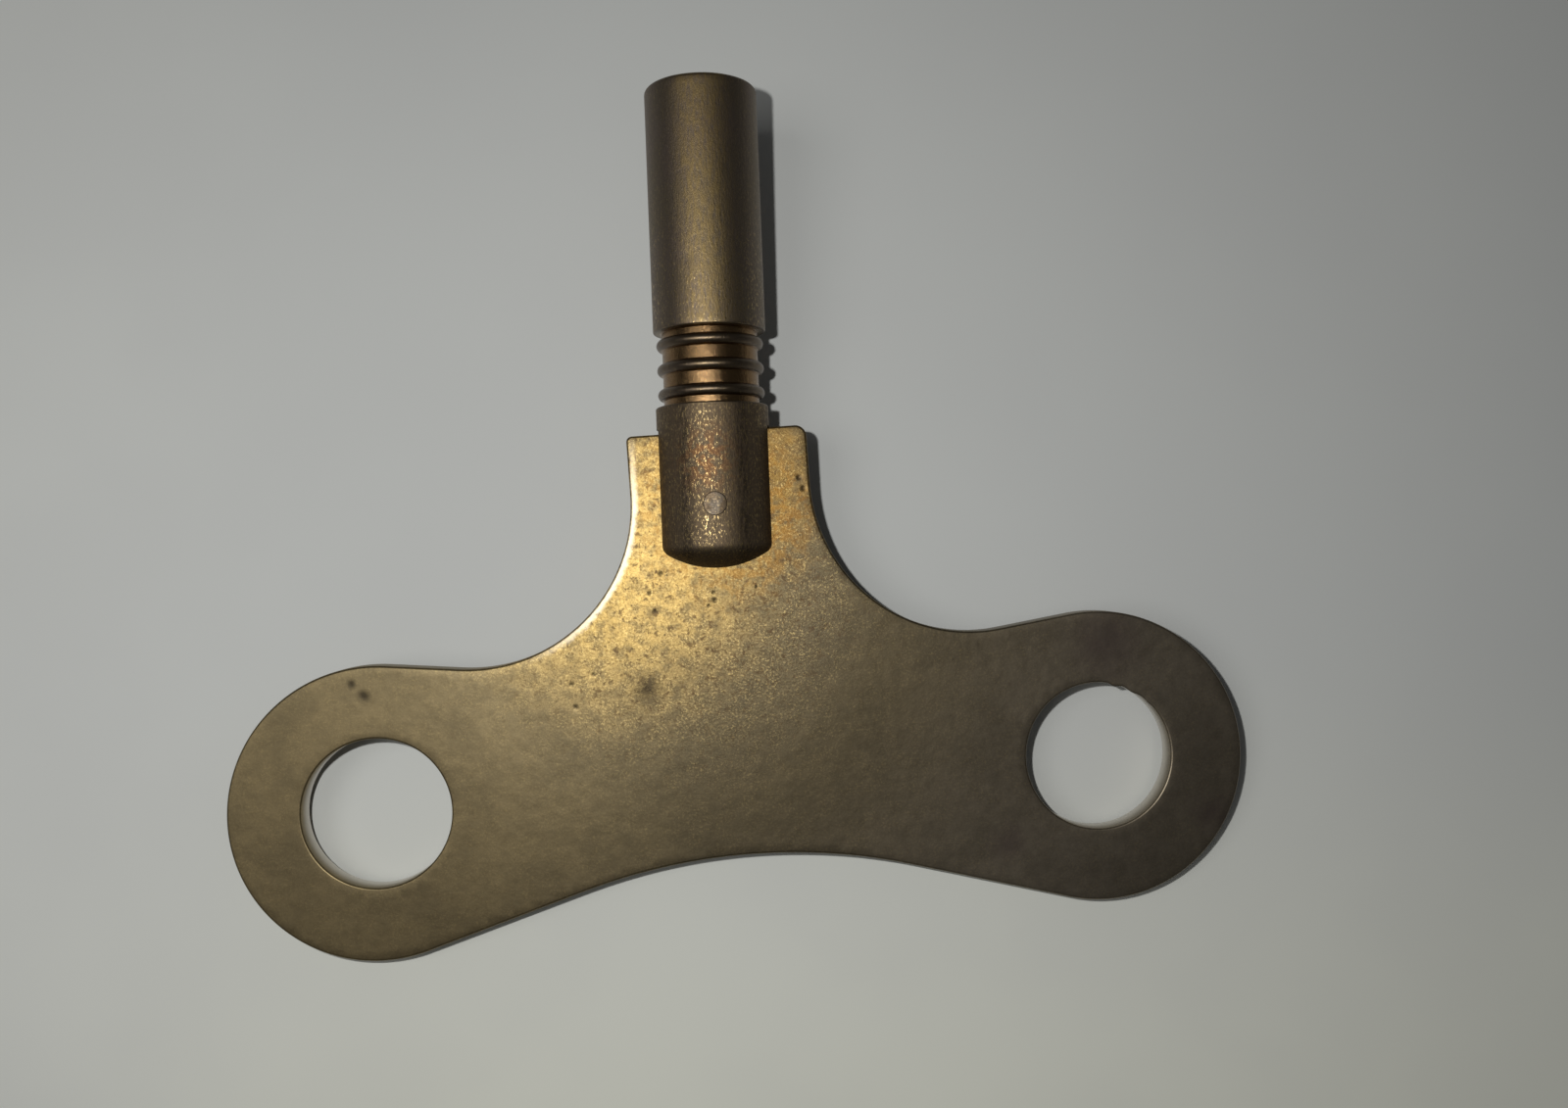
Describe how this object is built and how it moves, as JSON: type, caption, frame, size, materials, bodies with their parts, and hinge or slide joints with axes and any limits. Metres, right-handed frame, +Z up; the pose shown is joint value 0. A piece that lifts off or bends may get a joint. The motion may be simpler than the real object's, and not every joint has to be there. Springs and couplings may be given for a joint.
{
  "type": "radiator bleed key",
  "caption": "Brass key: flat handle plate with round finger holes, riveted into a turned, beaded barrel with a square socket in its free end.",
  "frame": {"origin": "centre of the square socket's mouth, on the barrel's axis", "axes": "+Y out of the socket's mouth along the barrel's axis, +X to the right across the handle plate, +Z up, out of the plate's face; the plate's mid-plane is Z = 0"},
  "size_m": [0.0716, 0.0604, 0.008],
  "materials": {
    "plate_brass": "aged, with a fine grain and a thin brown tarnish",
    "barrel_brass": "aged, brushed lengthwise, with a darker brown tarnish",
    "rivet_brass": "aged, filed flush"
  },
  "bodies": {
    "root": {"handle_plate": "plate_brass", "barrel": "barrel_brass", "cross_rivet": "rivet_brass"}
  },
  "joints": []
}
